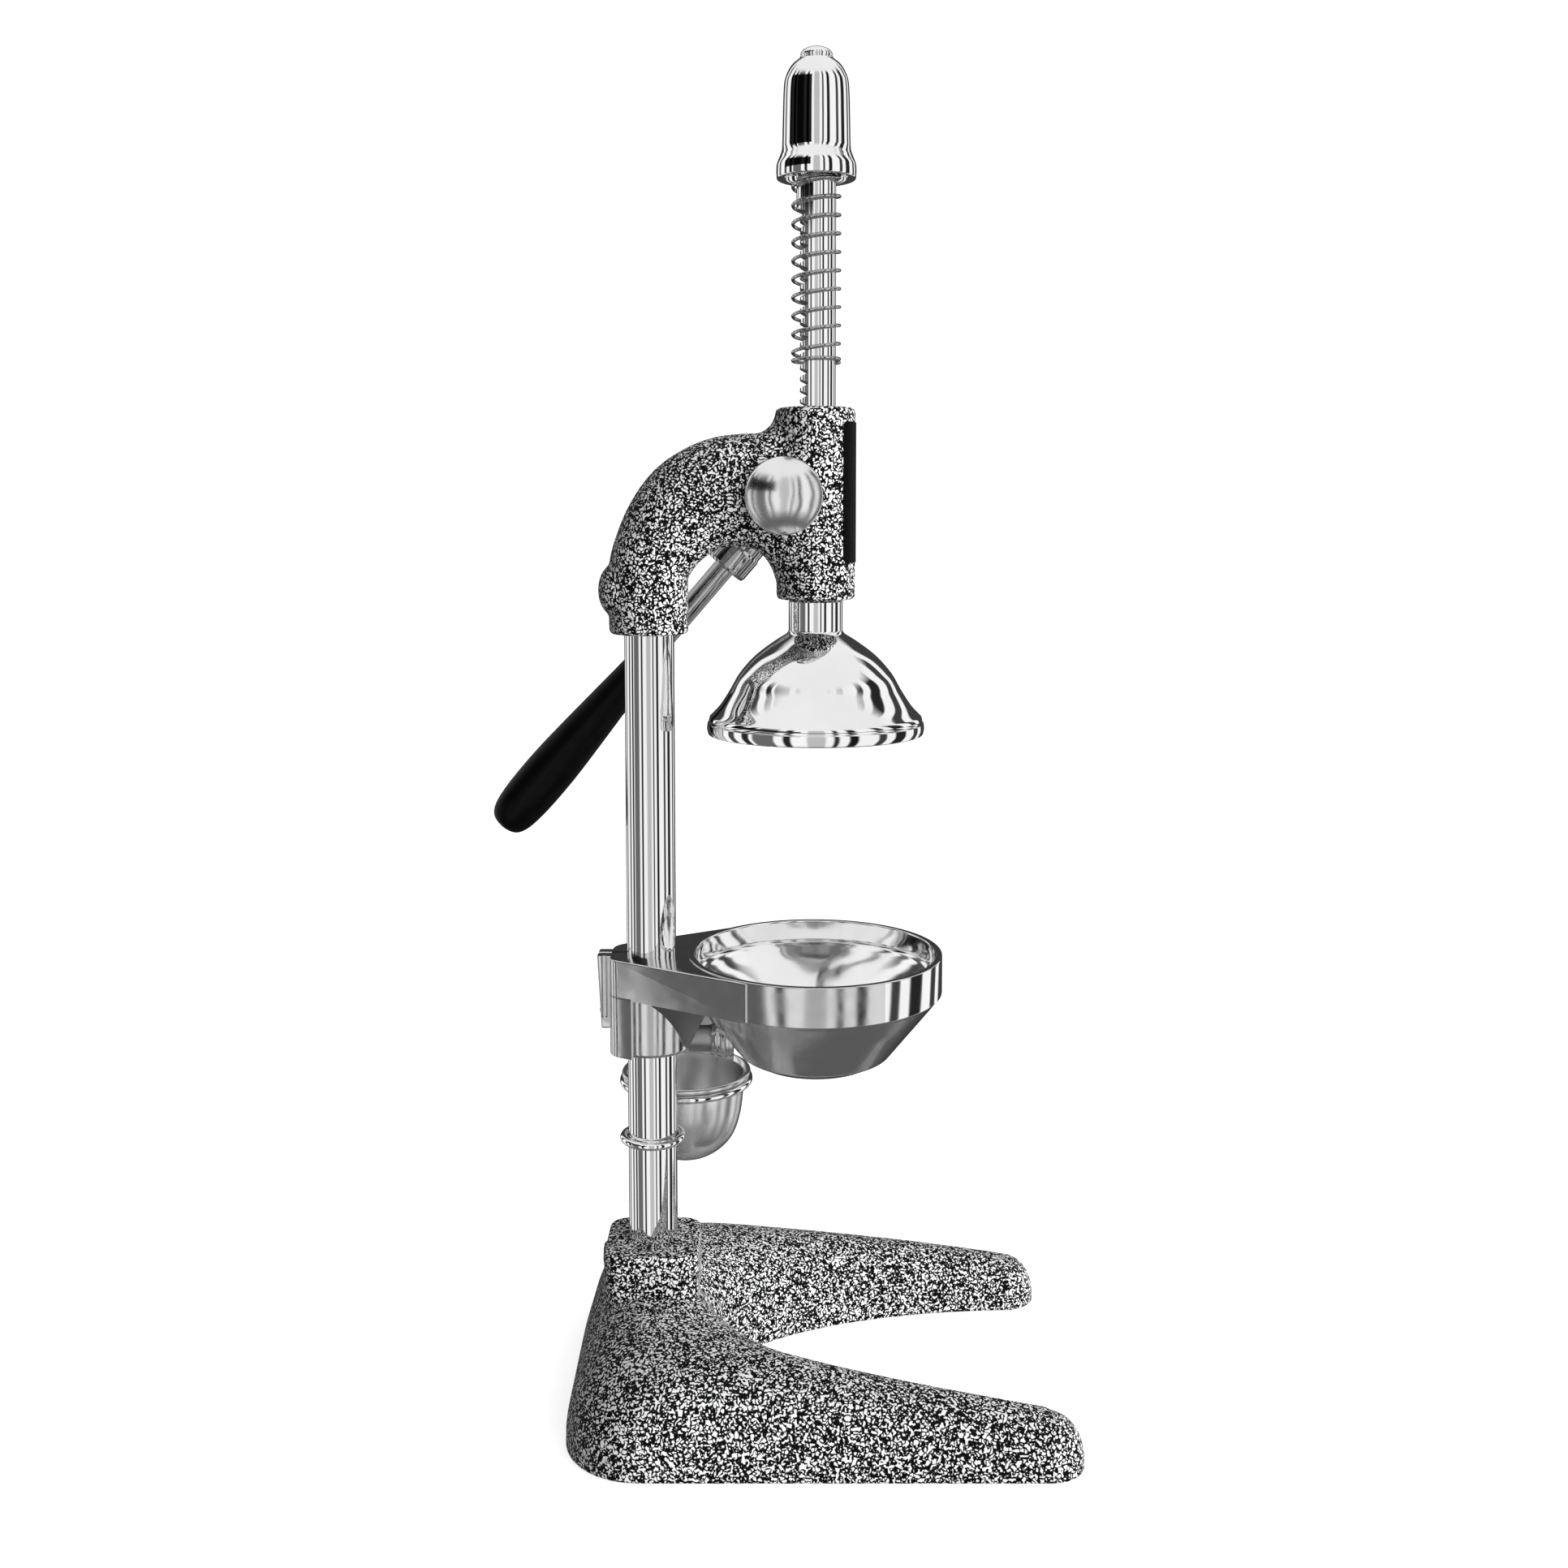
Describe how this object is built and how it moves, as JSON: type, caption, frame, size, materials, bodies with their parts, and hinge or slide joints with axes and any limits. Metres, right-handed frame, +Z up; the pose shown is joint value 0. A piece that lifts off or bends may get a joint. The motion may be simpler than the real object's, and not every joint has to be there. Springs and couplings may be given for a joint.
{
  "type": "citrus press juicer",
  "caption": "Hand-lever citrus press with a rack-and-pinion ram, press bell, bowl bracket and drip cup on a forked cast base.",
  "frame": {"origin": "on the column axis, in the plane that the rubber soles stand on", "axes": "+Z up along the column, +X from the column towards the press axis, +Y to the lever side"},
  "size_m": [0.3028, 0.196, 0.6716],
  "materials": {
    "hammertone": "silver hammertone paint with a black crackle network, glossy",
    "rubber": "matt black rubber",
    "chrome": "bright mirror chrome",
    "steel": "turned steel",
    "zinc_steel": "zinc-plated steel",
    "black_steel": "black oxide steel",
    "bronze": "turned bearing bronze",
    "black_plate": "plain black enamelled plate",
    "polished_casting": "polished and plated casting, slightly uneven",
    "spring_steel": "bright spring wire",
    "black_grip": "satin black moulded grip"
  },
  "bodies": {
    "stand": {"base_casting": "hammertone", "base_soles": "rubber", "column_tube": "chrome", "column_foot_plug": "steel", "column_bolt": "zinc_steel", "column_bolt_washer": "zinc_steel", "base_set_screw": "black_steel", "head_casting": "hammertone", "head_set_screw": "black_steel", "barrel_bush_top": "bronze", "barrel_bush_bottom": "bronze", "pinion_bush_near": "bronze", "pinion_bush_far": "bronze", "front_nameplate": "black_plate", "bowl_bracket": "polished_casting", "bracket_clamp_bolts": "zinc_steel"},
    "lever": {"pinion_shaft": "steel", "shaft_dome_cap": "chrome", "thrust_washer": "zinc_steel", "lever_hub": "chrome", "hub_set_screw": "black_steel", "lever_rod": "chrome", "lever_grip": "black_grip"},
    "ram": {"rack_rod": "chrome", "press_bell": "chrome", "bell_screw": "zinc_steel", "spring_cap": "chrome", "cap_nut": "chrome", "spring_seat_washer": "zinc_steel", "return_spring": "spring_steel"},
    "funnel": {"bowl_funnel": "polished_casting"},
    "drip_holder": {"drip_ring": "chrome"},
    "drip_cup": {"drip_cup": "chrome"}
  },
  "joints": [
    {"name": "lever_turn", "type": "hinge", "parent": "stand", "child": "lever", "pos_m": [0.06742, 0, 0.4545], "axis": [0, 1, 0], "range_deg": [0, 625.04]},
    {"name": "press_slide", "type": "slide", "parent": "stand", "child": "ram", "axis": [0, 0, -1], "range_m": [0, 0.1052], "stiffness_N_per_m": 60, "deforming": ["return_spring"]},
    {"name": "drip_swing", "type": "hinge", "parent": "stand", "child": "drip_holder", "pos_m": [0, 0, 0.1255], "axis": [0, 0, 1], "continuous": true},
    {"name": "cup_lift", "type": "slide", "parent": "drip_holder", "child": "drip_cup", "axis": [0, 0, 1], "range_m": [0, 0.02]},
    {"name": "funnel_lift", "type": "slide", "parent": "stand", "child": "funnel", "axis": [0, 0, 1], "range_m": [0, 0.012]}
  ],
  "couplings": [
    {"joint": "press_slide", "follows": "lever_turn", "m_per_rad": 0.009625}
  ]
}
